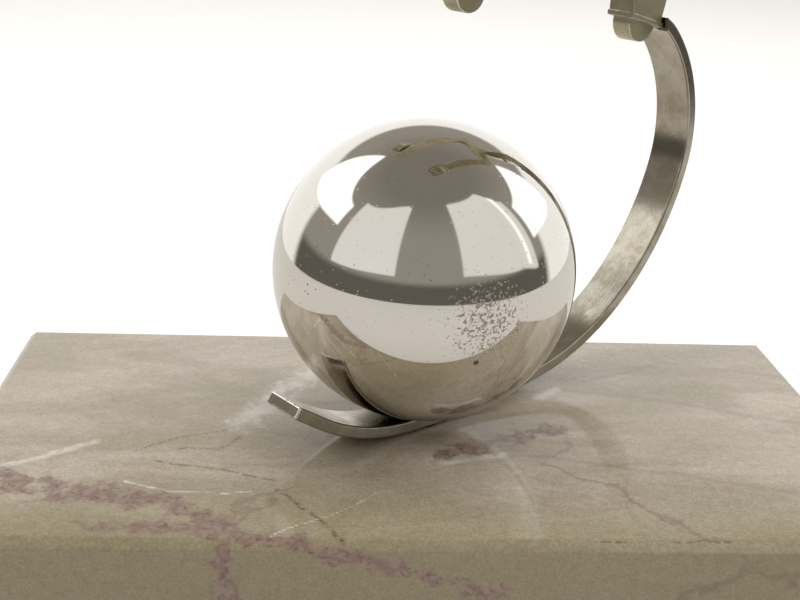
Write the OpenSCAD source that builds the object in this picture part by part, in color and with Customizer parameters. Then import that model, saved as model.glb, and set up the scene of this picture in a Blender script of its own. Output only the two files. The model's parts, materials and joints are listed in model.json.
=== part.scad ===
// Desk swing toy: a polished ball held by a flat crescent band on a stone plinth, with a
// two-rail cradle yoke that rocks on the crescent's high end.
// Frame: origin at the centre of the plinth's footprint, on the table; +X along the plinth;
// +Z up. The band's own frame is turned about the centre stud: a along the band, b across it.

/* [Plinth] */
// Length of the stone plinth
plinth_l = 226; // [190:1:300]
// Depth of the stone plinth
plinth_w = 120; // [120:1:170]
// Height of the stone plinth
plinth_h = 26; // [20:1:45]
// Chamfer along the plinth's upper edges
plinth_chamfer = 2.2; // [0.5:0.1:4]
// How far the stud stands behind the plinth's middle
stud_back = 2; // [0:0.5:4]
// Diameter of each rubber foot
foot_d = 16; // [12:1:24]
// How far a foot stands out below the stone
foot_h = 2.5; // [2:0.1:5]
// Distance from the stone's sides to a foot's centre
foot_inset = 16; // [13:1:30]
// Diameter of the wood-screws that hold the feet
foot_screw_d = 3.5; // [3:0.1:4]

/* [Ball] */
// Diameter of the polished ball
ball_d = 76; // [60:1:90]
// Outer diameter of the bush in the ball
ball_bush_d = 10; // [9:0.5:14]
// Thickness of the washer between band and ball
seat_t = 1; // [0.6:0.1:1.2]

/* [Crescent band] */
// Width of the flat band
band_w = 12; // [11:0.5:18]
// Thickness of the flat band
band_t = 3.2; // [2:0.1:4]
// Turn of the band on the plinth, away from the plinth's long axis
band_yaw = 36.3; // [0:0.1:60]
// Inner radius of the flat stretch under the ball
sole_r = 203; // [160:1:300]
// Angle of the flat stretch from the stud towards the high end
sole_angle = 11.1; // [8:0.1:15]
// Angle of the flat stretch from the stud towards the toe
heel_angle = 2.4; // [1:0.1:6]
// Inner radius of the toe's bend
toe_r = 51.2; // [48:0.1:70]
// Angle of the toe's bend
toe_angle = 30.8; // [20:0.1:40]
// Length of the straight tip at the toe
toe_tip = 8.6; // [4:0.1:18]
// Inner radius of the rising stretch
rise_r = 66.3; // [60:0.1:90]
// Angle of the rising stretch
rise_angle = 29.7; // [24:0.1:36]
// Inner radius of the shoulder, where the band is steepest
shoulder_r = 72.2; // [60:0.1:90]
// Angle of the shoulder
shoulder_angle = 33.3; // [28:0.1:38]
// Inner radius of the crook at the top
crook_r = 38.3; // [34:0.1:50]
// Angle of the crook at the top
crook_angle = 64; // [58:0.5:70]
// Inner radius of the last bend, before the clamped end
bend_r = 12; // [8:0.5:16]
// Angle of the last bend
bend_angle = 27; // [20:0.5:32]

/* [Centre stud] */
// Diameter of the stud through plinth, band and ball
stud_d = 6; // [5:0.5:7]
// Running clearance around the stud and the pivot pin, on the radius
running_gap = 0.05; // [0.02:0.01:0.1]
// How far the stud reaches into the ball
stud_reach = 14; // [10:0.5:18]
// Outer diameter of the bush in the band
band_bush_d = 8.6; // [8:0.2:10]
// Diameter of the recess for the nut in the plinth's underside
recess_d = 24; // [20:1:36]
// Depth of the recess for the nut
recess_h = 12; // [11:0.5:14]

/* [Rocker] */
// Length of the band's straight end, held between tongue and lug
clamp_l = 9; // [8:0.5:12]
// Width of the half-round tongue along the band
tongue_l = 10.4; // [8:0.1:12]
// Width of tongue, lug and the band's tenon across the band
clamp_w = 6; // [6:0.5:9]
// Width of the lug along the band
lug_l = 6; // [5:0.1:7]
// Height of the pivot above the band's end
pivot_rise = 16; // [15:0.5:20]
// Diameter of the pivot pin
pivot_d = 3; // [2.5:0.1:3.4]
// Wall of the rocker post
post_wall = 1; // [0.9:0.1:1.6]
// Outward lean of the post's outer side, as a slope
post_flare = 0.25; // [0:0.01:0.4]
// Height of the raised lip around the post's foot
lip_h = 1.3; // [0.8:0.1:2]
// How far the lip stands proud of the post
lip_out = 0.3; // [0.2:0.05:0.6]

/* [Yoke] */
// Distance between the two rails' centre lines
rail_gap = 33; // [28:1:44]
// Length of each rail, from the cross-head to its end
rail_l = 55; // [40:1:60]
// Width and height of each rail
rail_size = 7; // [6:0.5:9]
// Length of the cross-head's bar along the band
bar_l = 8; // [7:0.5:12]
// Length of the cross-head's neck, from the bar to the pivot
neck_l = 22; // [16:1:30]
// Drop from a rail's underside to the rounded end of its tip
tip_drop = 16.5; // [15:0.5:20]
// Width of a tip along the rail
tip_l = 8.4; // [6:0.1:9]
// Width of a tip across the rail
tip_w = 5; // [4:0.1:6]
// Depth of the cuff that holds a tip, below the rail
cuff_h = 12.5; // [10:0.5:13]
// Diameter of the yoke's screws
yoke_screw_d = 2.5; // [2:0.1:3]

/* [Hidden] */
$fn = 64;
over = 1;                     // how far a cutting shape runs past the face it cuts
far = 60;                     // reach of the half-plane cutters

// Heights of the stack on the stud
stone_top = foot_h + plinth_h;
slip_t = 0.4;                 // the slip washer lies in the stone, on the stud's collar
bush_out = 0.1;               // how far the band's bush stands proud of both band faces
band_z = stone_top + bush_out;
sole_z = band_z + band_t;     // the band's upper face at the stud
seat_z = sole_z + bush_out;   // underside of the seat washer
ball_z = seat_z + ball_d / 2; // centre of the ball
seat_over = 1;                // how much wider the seat washer is than the ball's bush
seat_d = ball_bush_d + seat_over;
seat_gap = 0.4;               // between the seat washer's rim and its recess in the ball

// Stud, nut and washers
collar_out = 2.5;             // how far the stud's collar stands out from the stud
collar_d = stud_d + 2 * collar_out;
collar_h = 2;
collar_z = stone_top - slip_t - collar_h;
collar_gap = 0.2;
slip_d = collar_d - 1;
ring_t = 1.2;
ring_z = seat_z + seat_t + stud_reach / 2;
washer_t = 1.6;
spring_t = 1.6;
nut_h = 5;
nut_across = 1.667 * stud_d;
stud_below = 1.5;             // how far the stud ends below its nut
stud_chamfer = 0.6;           // at the stud's upper end
stud_foot = foot_h + recess_h - washer_t - spring_t - nut_h - stud_below;
washer_across = 3 * stud_d;
spring_across = 1.85 * stud_d;
spring_slit = 1;              // width of the spring washer's slit
spring_turn = 20;
ring_gap = 0.01;              // between the grip ring and the groove's floor
bush_roof = 2;                // how far the ball's bush reaches past the stud
stud_room = 0.5;              // free height above the stud, inside the bush
hole_gap = 0.5;

// Feet
foot_x = plinth_l / 2 - foot_inset;
foot_y = plinth_w / 2 - foot_inset;
plug_d = foot_screw_d + 3;
plug_l = 12;
head_h = 1.2;
head_d = 2 * foot_screw_d;

// Points along the band's inner face, in the band's a-z plane with the stud's contact at 0,0
function arc_centre(p, angle, r) = [p[0] - r * sin(angle), p[1] + r * cos(angle)];
function arc_end(c, angle, r) = [c[0] + r * sin(angle), c[1] - r * cos(angle)];
rise_from = sole_angle;
shoulder_from = rise_from + rise_angle;
crook_from = shoulder_from + shoulder_angle;
bend_from = crook_from + crook_angle;
end_angle = bend_from + bend_angle;
sole_c = [0, sole_r];
rise_p = arc_end(sole_c, rise_from, sole_r);
rise_c = arc_centre(rise_p, rise_from, rise_r);
shoulder_p = arc_end(rise_c, shoulder_from, rise_r);
shoulder_c = arc_centre(shoulder_p, shoulder_from, shoulder_r);
crook_p = arc_end(shoulder_c, crook_from, shoulder_r);
crook_c = arc_centre(crook_p, crook_from, crook_r);
bend_p = arc_end(crook_c, bend_from, crook_r);
bend_c = arc_centre(bend_p, bend_from, bend_r);
end_p = arc_end(bend_c, end_angle, bend_r);
heel_p = arc_end(sole_c, -heel_angle, sole_r);
toe_c = arc_centre(heel_p, -heel_angle, toe_r);
tip_angle = heel_angle + toe_angle;
toe_p = arc_end(toe_c, -tip_angle, toe_r);
toe_end = toe_p - toe_tip * [cos(tip_angle), -sin(tip_angle)];
band_tip = end_p + clamp_l * [cos(end_angle), sin(end_angle)];
arc_step = 2.5;               // angle between points along the band's arcs

// Tongue, lug and post. The tongue's middle is on the clamped stretch.
mid_p = end_p + clamp_l / 2 * [cos(end_angle), sin(end_angle)];
pivot_right = 0.8;            // how far the pivot stands right of the tongue's middle
pivot_a = mid_p[0] + pivot_right;
pivot_z = mid_p[1] + pivot_rise;
clamp_pin_d = 1.6;
clamp_pin_b = clamp_w / 4;
clamp_pin_in = 2;             // how far a clamp pin reaches into the tongue
clamp_pin_out = 4;            // and how far into the lug
rock_stop = 0.3;              // gap between lug and post on the side where the yoke rests
rock_room = 1.8;              // room on the other side, for the rocking
side_gap = 0.2;               // between lug and post across the band
post_in_w = clamp_w + 2 * side_gap;
post_out_w = post_in_w + 2 * post_wall;
cavity_left = min(band_tip[0], pivot_a - lug_l / 2) - rock_stop;
cavity_right = pivot_a + lug_l / 2 + rock_room;
post_left = cavity_left - post_wall;
post_right = cavity_right + post_wall;
roof_gap = 0.5;               // between the lug's rounded end and the post's roof
roof_t = 4.5;
post_roof = pivot_z + lug_l / 2 + roof_gap;
post_top = post_roof + roof_t;
knee_up = 1;                  // from the tongue's middle to where the post starts to lean
tenon_gap = 0.6;              // between the post's lip and the band's full width
tenon_drop = 10;              // the tenon is cut down to this far below the tongue's middle
tenon_a = post_right + lip_out + tenon_gap;
tenon_z = mid_p[1] - tenon_drop;

// Yoke
head_right = 5;               // the cross-head's rounded end is centred this far right of the pivot
cuff_wall = 1.3;
cuff_roof = 4;                // solid metal above a tip, inside its cuff and rail
function cuff_l(size) = size + 2 * cuff_wall;
rail_z = post_top;
bar_a = pivot_a - neck_l - bar_l;
rail_end = bar_a - rail_l;
tip_a = rail_end + cuff_l(tip_l) / 2;
tip_z = rail_z - tip_drop;
head_r = 0.85 * yoke_screw_d;
yoke_head_h = 0.8 * head_r;
head_gap = 0.2;
screw_room = 0.5;             // between the post's screw and the post's roof
tip_pin_d = 1.5;
tip_in = cuff_h - cuff_roof;  // how far a tip reaches up its cuff
tip_pin_up = 1;               // a tip's pin is this far above the middle of its socket
tip_pin_z = rail_z - cuff_h + tip_in / 2 + tip_pin_up;
tip_pin_out = 0.3;            // how far it stands out of the cuff on each side
rail_screw_in = 8;
clip_t = 0.8;
clip_slit = 1.6;
clip_out = 1.5;               // how far a clip stands out from the pivot pin
clip_in = 0.5;                // depth of the pin's groove for a clip
pin_out = 2.5;                // how far the pivot pin stands out of the post on each side

// --- helpers -------------------------------------------------------------------------------

// Turns its children with the band
module on_band() rotate([0, 0, band_yaw]) children();

// Raises a shape drawn in the a-z plane above the sole, w wide across the band
module across(w)
    translate([0, 0, sole_z]) rotate([90, 0, 0]) linear_extrude(w, center = true) children();

// A rod along b through the a-z point p above the sole
module cross_rod(p, d, l)
    translate([p[0], 0, sole_z + p[1]]) rotate([90, 0, 0]) cylinder(d = d, h = l, center = true);

// A tube, standing on z = 0
module tube(d_out, d_in, h) {
    difference() {
        cylinder(d = d_out, h = h);
        translate([0, 0, -over]) cylinder(d = d_in, h = h + 2 * over);
    }
}

// Points along one arc of the band's side view, r from the arc's centre c
function arc_points(c, r, from, to) =
    let (steps = ceil((to - from) / arc_step))
    [for (i = [0 : steps]) let (at = from + (to - from) * i / steps) c + r * [sin(at), -cos(at)]];

// One face of the band from the toe to the high end, t outside the inner face
function band_face(t) = concat(
    [toe_end + t * [-sin(tip_angle), -cos(tip_angle)]],
    arc_points(toe_c, toe_r + t, -tip_angle, -heel_angle),
    arc_points(sole_c, sole_r + t, -heel_angle, 0),
    arc_points(sole_c, sole_r + t, 0, sole_angle),
    arc_points(rise_c, rise_r + t, rise_from, shoulder_from),
    arc_points(shoulder_c, shoulder_r + t, shoulder_from, crook_from),
    arc_points(crook_c, crook_r + t, crook_from, bend_from),
    arc_points(bend_c, bend_r + t, bend_from, end_angle),
    [band_tip + t * [sin(end_angle), -cos(end_angle)]]);

function reversed(list) = [for (i = [len(list) - 1 : -1 : 0]) list[i]];

// The half-plane on the inner side of the band's clamped end, shifted outwards by s
module inside_end(s) translate(end_p) rotate(end_angle) translate([-far, -s]) square([2 * far, 2 * far]);

// Children at the two clamp pins' places, pointing outwards through the band
module at_clamp_pins() {
    for (side = [-1, 1])
        translate([mid_p[0], side * clamp_pin_b, sole_z + mid_p[1]]) rotate([0, 180 - end_angle, 0]) children();
}

// Children at the four feet
module at_feet() translate([0, -stud_back, 0])
    for (x = [-foot_x, foot_x], y = [-foot_y, foot_y]) translate([x, y, 0]) children();

// --- plinth and stud -----------------------------------------------------------------------

module plinth() {
    lift = plinth_h - plinth_chamfer;
    color("#9c8d7c") difference() {
        translate([0, -stud_back, foot_h]) intersection() {
            translate([-plinth_l / 2, -plinth_w / 2, 0]) cube([plinth_l, plinth_w, plinth_h]);
            rotate([90, 0, 90]) linear_extrude(plinth_l, center = true)
                polygon([[-plinth_w / 2, 0], [plinth_w / 2, 0], [plinth_w / 2, lift],
                         [plinth_w / 2 - plinth_chamfer, plinth_h],
                         [-plinth_w / 2 + plinth_chamfer, plinth_h], [-plinth_w / 2, lift]]);
            rotate([90, 0, 0]) linear_extrude(plinth_w, center = true)
                polygon([[-plinth_l / 2, 0], [plinth_l / 2, 0], [plinth_l / 2, lift],
                         [plinth_l / 2 - plinth_chamfer, plinth_h],
                         [-plinth_l / 2 + plinth_chamfer, plinth_h], [-plinth_l / 2, lift]]);
        }
        translate([0, 0, foot_h - over]) cylinder(d = recess_d, h = recess_h + over);
        cylinder(d = stud_d + 2 * hole_gap, h = stone_top + over);
        translate([0, 0, collar_z]) cylinder(d = collar_d + 2 * collar_gap, h = far);
        at_feet() translate([0, 0, foot_h - over]) cylinder(d = plug_d, h = plug_l + over);
    }
}

module rubber_feet() {
    color("#26241f") at_feet() difference() {
        cylinder(d = foot_d, h = foot_h);
        translate([0, 0, -over]) cylinder(d = foot_screw_d, h = foot_h + 2 * over);
        translate([0, 0, -over]) cylinder(d = head_d, h = head_h + over);
    }
}

module foot_plugs() {
    color("#c9c4b4") at_feet() translate([0, 0, foot_h]) tube(plug_d, foot_screw_d, plug_l);
}

module foot_screws() {
    color("#a8a69e") at_feet() {
        translate([0, 0, head_h / 3]) cylinder(d = head_d, h = head_h * 2 / 3);
        translate([0, 0, head_h / 3]) cylinder(d = foot_screw_d, h = plug_l);
    }
}

module centre_stud() {
    top = seat_z + seat_t + stud_reach;
    color("#b3aea2") difference() {
        union() {
            translate([0, 0, stud_foot]) cylinder(d = stud_d, h = top - stud_foot - stud_chamfer);
            translate([0, 0, top - stud_chamfer])
                cylinder(d1 = stud_d, d2 = stud_d - 2 * stud_chamfer, h = stud_chamfer);
            translate([0, 0, collar_z]) cylinder(d = collar_d, h = collar_h);
        }
        translate([0, 0, ring_z - ring_t / 2]) tube(stud_d + over, stud_d - 2 * ring_t, ring_t);
    }
}

module stud_washer() {
    color("#a8a69e") translate([0, 0, foot_h + recess_h - washer_t]) tube(washer_across, stud_d, washer_t);
}

module spring_washer() {
    z = foot_h + recess_h - washer_t - spring_t;
    color("#8d8a80") translate([0, 0, z]) difference() {
        tube(spring_across, stud_d, spring_t);
        rotate([0, 0, spring_turn]) translate([0, -spring_slit / 2, -over])
            cube([spring_across, spring_slit, spring_t + 2 * over]);
    }
}

module stud_nut() {
    z = foot_h + recess_h - washer_t - spring_t - nut_h;
    color("#b0a890") translate([0, 0, z]) difference() {
        cylinder(d = nut_across / cos(30), h = nut_h, $fn = 6);
        translate([0, 0, -over]) cylinder(d = stud_d, h = nut_h + 2 * over);
    }
}

module slip_washer() {
    color("#5d5344") translate([0, 0, stone_top - slip_t]) tube(slip_d, stud_d + 2 * running_gap, slip_t);
}

module grip_ring() {
    color("#26241f") translate([0, 0, ring_z]) rotate_extrude()
        translate([(stud_d - ring_t) / 2 + ring_gap, 0]) circle(d = ring_t - 2 * ring_gap, $fn = 24);
}

// --- crescent ------------------------------------------------------------------------------

module crescent_band() {
    color("#a59c88") on_band() difference() {
        across(band_w) polygon(concat(band_face(0), reversed(band_face(band_t))));
        translate([0, 0, band_z - over]) cylinder(d = band_bush_d, h = band_t + 2 * over);
        for (side = [-1, 1])
            translate([tenon_a - far, side * (clamp_w + far) / 2 - far / 2, sole_z + tenon_z])
                cube([far, far, far]);
        at_clamp_pins() translate([0, 0, -over]) cylinder(d = clamp_pin_d, h = band_t + 2 * over);
    }
}

module band_bush() {
    color("#b08d4c") translate([0, 0, band_z - bush_out])
        tube(band_bush_d, stud_d + 2 * running_gap, band_t + 2 * bush_out);
}

module seat_washer() {
    color("#d8d3c4") translate([0, 0, seat_z]) tube(seat_d, stud_d + 2 * running_gap, seat_t);
}

module clamp_tongue() {
    color("#8f8a6c") on_band() difference() {
        across(clamp_w) intersection() {
            translate(mid_p) circle(d = tongue_l);
            inside_end(0);
        }
        at_clamp_pins() translate([0, 0, -clamp_pin_in]) cylinder(d = clamp_pin_d, h = clamp_pin_in + over);
    }
}

module pivot_lug() {
    color("#a59c88") on_band() difference() {
        across(clamp_w) difference() {
            union() {
                translate([pivot_a, pivot_z]) circle(d = lug_l);
                translate([pivot_a - lug_l / 2, mid_p[1] - lug_l]) square([lug_l, pivot_rise + lug_l]);
            }
            inside_end(band_t);
        }
        cross_rod([pivot_a, pivot_z], pivot_d + 2 * running_gap, clamp_w + 2 * over);
        at_clamp_pins() cylinder(d = clamp_pin_d, h = band_t + clamp_pin_out);
    }
}

module clamp_pins() {
    color("#a8a69e") on_band() at_clamp_pins() translate([0, 0, -clamp_pin_in])
        cylinder(d = clamp_pin_d, h = clamp_pin_in + band_t + clamp_pin_out);
}

// --- ball ----------------------------------------------------------------------------------

module ball() {
    color("#c4c0b6") difference() {
        translate([0, 0, ball_z]) sphere(d = ball_d, $fn = 180);
        cylinder(d = seat_d + 2 * seat_gap, h = seat_z + seat_t);
        cylinder(d = ball_bush_d, h = seat_z + seat_t + stud_reach + bush_roof);
    }
}

module ball_bush() {
    color("#b08d4c") translate([0, 0, seat_z + seat_t]) difference() {
        cylinder(d = ball_bush_d, h = stud_reach + bush_roof);
        translate([0, 0, -over]) cylinder(d = stud_d + 2 * running_gap, h = stud_reach + over + stud_room);
    }
}

// --- rocker and yoke -----------------------------------------------------------------------

// The post's outline in the a-z plane, before its foot is cut along the band
module post_outline(out) {
    knee_z = mid_p[1] + knee_up;
    wide = post_right + post_flare * (pivot_z - knee_z);
    polygon([[post_left - out, mid_p[1] - far / 3], [post_right + out, mid_p[1] - far / 3],
             [post_right + out, knee_z], [wide + out, pivot_z], [wide + out, post_top],
             [post_left - out, post_top]]);
}

module rocker_post() {
    color("#8f8a6c") on_band() difference() {
        union() {
            across(post_out_w) difference() {
                post_outline(0);
                inside_end(0);
            }
            across(post_out_w + 2 * lip_out) difference() {
                intersection() {
                    post_outline(lip_out);
                    inside_end(lip_h);
                }
                inside_end(0);
            }
        }
        across(post_in_w) translate([cavity_left, mid_p[1] - far / 2])
            square([cavity_right - cavity_left, post_roof - mid_p[1] + far / 2]);
        across(post_in_w) intersection() {
            inside_end(band_t + rock_room);
            translate([pivot_a, 0]) square([far, 4 * far]);
        }
        cross_rod([pivot_a, pivot_z], pivot_d, post_out_w + 2 * over);
        translate([pivot_a, 0, sole_z + post_roof - over]) cylinder(d = yoke_screw_d, h = far);
    }
}

module pivot_pin() {
    color("#b3aea2") on_band() difference() {
        cross_rod([pivot_a, pivot_z], pivot_d, post_out_w + 2 * pin_out);
        at_clips() tube(pivot_d + over, pivot_d - 2 * clip_in, clip_t);
    }
}

// Children at the two clips on the pivot pin, with +z along the pin
module at_clips() {
    for (side = [-1, 1])
        translate([pivot_a, side * (post_out_w + clip_t) / 2, sole_z + pivot_z])
            rotate([90, 0, 0]) translate([0, 0, -clip_t / 2]) children();
}

module pivot_clips() {
    color("#77736a") on_band() at_clips() difference() {
        tube(pivot_d + 2 * clip_out, pivot_d - 2 * clip_in, clip_t);
        translate([-clip_slit / 2, 0, -over]) cube([clip_slit, pivot_d + 2 * clip_out, clip_t + 2 * over]);
    }
}

module cross_head() {
    right = pivot_a + head_right;
    color("#8f8a6c") on_band() translate([0, 0, sole_z + rail_z]) difference() {
        union() {
            translate([bar_a, -(rail_gap + rail_size) / 2, 0])
                cube([bar_l, rail_gap + rail_size, rail_size]);
            translate([bar_a, -post_out_w / 2, 0]) cube([right - bar_a, post_out_w, rail_size]);
            translate([right, 0, 0]) cylinder(d = post_out_w, h = rail_size);
        }
        translate([pivot_a, 0, -over]) cylinder(d = yoke_screw_d, h = far);
        translate([pivot_a, 0, rail_size - head_r]) cylinder(r = head_r + head_gap, h = far);
        at_rail_screws() cylinder(d = yoke_screw_d, h = bar_l);
    }
}

module post_screw() {
    l = rail_size - head_r + post_top - post_roof;
    color("#a8a69e") on_band() translate([pivot_a, 0, sole_z + rail_z + rail_size - head_r]) {
        cylinder(r = head_r, h = yoke_head_h);
        translate([0, 0, -l + screw_room]) cylinder(d = yoke_screw_d, h = l);
    }
}

// Children at the two rail screws in the cross-head's own height, with +z towards the rails
module at_rail_screws() {
    for (side = [-1, 1])
        translate([bar_a + bar_l, side * rail_gap / 2, rail_size / 2]) rotate([0, -90, 0]) children();
}

// One rail with its cuff, on the middle of the band
module rail() {
    cuff_w = tip_w + 2 * cuff_wall;
    difference() {
        union() {
            translate([rail_end, -rail_size / 2, sole_z + rail_z]) cube([rail_l, rail_size, rail_size]);
            translate([rail_end, -cuff_w / 2, sole_z + rail_z - cuff_h])
                cube([cuff_l(tip_l), cuff_w, cuff_h + over]);
            translate([rail_end - lip_out, -cuff_w / 2 - lip_out, sole_z + rail_z - cuff_h])
                cube([cuff_l(tip_l) + 2 * lip_out, cuff_w + 2 * lip_out, lip_h]);
        }
        translate([tip_a - tip_l / 2, -tip_w / 2, sole_z + rail_z - cuff_h - over])
            cube([tip_l, tip_w, tip_in + over]);
        translate([tip_a, 0, sole_z + tip_pin_z]) rotate([90, 0, 0])
            cylinder(d = tip_pin_d, h = 2 * cuff_w, center = true);
        translate([bar_a, 0, sole_z + rail_z + rail_size / 2]) rotate([0, -90, 0])
            translate([0, 0, -over]) cylinder(d = yoke_screw_d, h = rail_screw_in + over);
    }
}

module near_rail() color("#8f8a6c") on_band() translate([0, -rail_gap / 2, 0]) rail();

module far_rail() color("#8f8a6c") on_band() translate([0, rail_gap / 2, 0]) rail();

module rail_screws() {
    color("#a8a69e") on_band() translate([0, 0, sole_z + rail_z]) at_rail_screws() {
        translate([0, 0, -yoke_head_h]) cylinder(r = head_r, h = yoke_head_h);
        cylinder(d = yoke_screw_d, h = bar_l + rail_screw_in);
    }
}

// One rounded tip, on the middle of the band
module tip() {
    difference() {
        across(tip_w) {
            translate([tip_a, tip_z + tip_l / 2]) circle(d = tip_l);
            translate([tip_a - tip_l / 2, tip_z + tip_l / 2])
                square([tip_l, tip_drop - tip_l / 2 - cuff_h + tip_in]);
        }
        cross_rod([tip_a, tip_pin_z], tip_pin_d, tip_w + 2 * over);
    }
}

module near_tip() color("#7e795c") on_band() translate([0, -rail_gap / 2, 0]) tip();

module far_tip() color("#7e795c") on_band() translate([0, rail_gap / 2, 0]) tip();

module tip_pins() {
    color("#b3aea2") on_band() for (side = [-1, 1])
        translate([0, side * rail_gap / 2, 0])
            cross_rod([tip_a, tip_pin_z], tip_pin_d, tip_w + 2 * cuff_wall + 2 * tip_pin_out);
}

plinth();
rubber_feet();
foot_plugs();
foot_screws();
centre_stud();
stud_washer();
spring_washer();
stud_nut();
slip_washer();
grip_ring();
crescent_band();
band_bush();
seat_washer();
clamp_tongue();
pivot_lug();
clamp_pins();
ball();
ball_bush();
rocker_post();
pivot_pin();
pivot_clips();
cross_head();
post_screw();
near_rail();
far_rail();
rail_screws();
near_tip();
far_tip();
tip_pins();
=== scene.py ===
"""Looks for a desk swing toy: a polished ball cradled by a nickel crescent on a marble plinth."""

import json
import math

import bmesh
import bpy
from bpy.props import FloatProperty, FloatVectorProperty, PointerProperty
from mathutils import Matrix, Vector, noise


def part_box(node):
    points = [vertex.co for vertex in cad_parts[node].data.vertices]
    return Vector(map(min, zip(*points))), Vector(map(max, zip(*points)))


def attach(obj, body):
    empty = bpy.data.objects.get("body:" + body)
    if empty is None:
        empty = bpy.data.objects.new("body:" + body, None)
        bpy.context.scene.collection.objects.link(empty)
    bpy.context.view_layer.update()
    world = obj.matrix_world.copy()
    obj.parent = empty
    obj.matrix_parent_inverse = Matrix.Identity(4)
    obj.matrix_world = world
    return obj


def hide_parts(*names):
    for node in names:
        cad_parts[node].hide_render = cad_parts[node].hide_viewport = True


bl_info = {
    "name": "Desk Swing Toy",
    "version": (1, 0, 0),
    "blender": (4, 5, 0),
    "location": "3D View > Sidebar > Swing Toy",
    "description": "Builds the looks of a ball, crescent and marble plinth around a packed frame",
    "category": "Object",
}

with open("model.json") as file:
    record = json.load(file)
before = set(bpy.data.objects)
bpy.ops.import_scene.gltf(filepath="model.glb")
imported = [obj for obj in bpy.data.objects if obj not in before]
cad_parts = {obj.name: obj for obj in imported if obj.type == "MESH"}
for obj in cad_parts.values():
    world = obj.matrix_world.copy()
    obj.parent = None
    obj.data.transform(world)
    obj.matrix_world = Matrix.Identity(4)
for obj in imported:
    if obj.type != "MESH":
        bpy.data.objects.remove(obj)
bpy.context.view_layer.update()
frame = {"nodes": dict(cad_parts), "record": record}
MM = 0.001
UP = Vector((0, 0, 1))


# --- sizes read from the frame --------------------------------------------------------------

def corners_of(node):
    """The lowest and the highest corner of a CAD node."""
    return tuple(Vector(corner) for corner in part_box(node))


def joint(name):
    """One joint's entry in the record."""
    return next(j for j in frame["record"]["behaviour"]["joints"] if j["name"] == name)


ROCK = joint("yoke_rock")
ACROSS = Vector(ROCK["axis"]).normalized()
ALONG = ACROSS.cross(UP)
YAW = math.atan2(ALONG.y, ALONG.x)
STONE_LOW, STONE_HIGH = corners_of("plinth")
BALL_LOW, BALL_HIGH = corners_of("ball")
BALL_R = (BALL_HIGH.x - BALL_LOW.x) / 2
BALL_MIDDLE = Vector((0, 0, BALL_HIGH.z - BALL_R))
BUSH_OUT = 0.0001  # how far the band's bush stands proud of the band
SOLE_Z = (corners_of("band_bush")[1].z + corners_of("seat_washer")[0].z) / 2
TONGUE_MIDDLE = sum(corners_of("clamp_tongue"), Vector()) / 2
WELD = 0.000002  # points this close are one


# --- settings a user would change -----------------------------------------------------------

def length(name, default, description):
    """A length setting, in metres."""
    return FloatProperty(name=name, description=description, default=default, unit="LENGTH")


def sweep(name, degrees, description):
    """An angle setting, given in degrees."""
    return FloatProperty(name=name, description=description, default=math.radians(degrees),
                         subtype="ANGLE")


def tint(name, default, description):
    """A colour setting."""
    return FloatVectorProperty(name=name, description=description, default=default,
                               subtype="COLOR", size=3)


class BandSizes(bpy.types.PropertyGroup):
    """Sizes of the flat crescent band"""

    width: length("Width", 0.012, "Width of the band")
    thickness: length("Thickness", 0.0032, "Thickness of the band")
    rounding: length("Rounding", 0.0005, "Radius along the band's long edges")
    sole_radius: length("Sole radius", 0.203, "Inner radius under the ball")
    sole_angle: sweep("Sole angle", 11.1, "Sweep of the sole towards the high end")
    heel_angle: sweep("Heel angle", 2.4, "Sweep of the sole towards the toe")
    toe_radius: length("Toe radius", 0.0512, "Inner radius of the toe's bend")
    toe_angle: sweep("Toe angle", 30.8, "Sweep of the toe's bend")
    toe_tip: length("Toe tip", 0.0086, "Straight length at the toe")
    rise_radius: length("Rise radius", 0.0663, "Inner radius of the rising stretch")
    rise_angle: sweep("Rise angle", 29.7, "Sweep of the rising stretch")
    shoulder_radius: length("Shoulder radius", 0.0722, "Inner radius of the shoulder")
    shoulder_angle: sweep("Shoulder angle", 33.3, "Sweep of the shoulder")
    crook_radius: length("Crook radius", 0.0383, "Inner radius of the crook")
    crook_angle: sweep("Crook angle", 64, "Sweep of the crook")
    bend_radius: length("Bend radius", 0.012, "Inner radius of the last bend")
    bend_angle: sweep("Bend angle", 27, "Sweep of the last bend")
    clamp_length: length("Clamped length", 0.009, "Straight length held by the tongue and lug")
    tenon_width: length("Tenon width", 0.006, "Width of the band inside the rocker post")
    tenon_at: length("Tenon shoulder", 0.07887, "Distance from the stud to the tenon's shoulder")
    tenon_drop: length("Tenon drop", 0.004, "Drop from the tongue's middle to the tenon's foot")


class BallSizes(bpy.types.PropertyGroup):
    """Sizes of the polished ball"""

    recess_radius: length("Recess radius", 0.0059, "Radius of the recess for the seat washer")
    bush_radius: length("Bush radius", 0.005, "Outer radius of the bush in the ball")


class EdgeSizes(bpy.types.PropertyGroup):
    """Rounding of the pieces' edges, and the grid of the stone's veins"""

    casting: length("Casting edges", 0.0005, "Width of the worn bevel on the castings and feet")
    stone: length("Stone edges", 0.0006, "Width of the eased edges of the plinth")
    turned: length("Turned edges", 0.00018, "Width of the bevel on turned and stamped pieces")
    band_end: length("Band's ends", 0.0005, "Width of the bevel around the band's two ends")
    vein_step: length("Vein grid", 0.0009, "Spacing of the points that carry the stone's veins")


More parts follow.
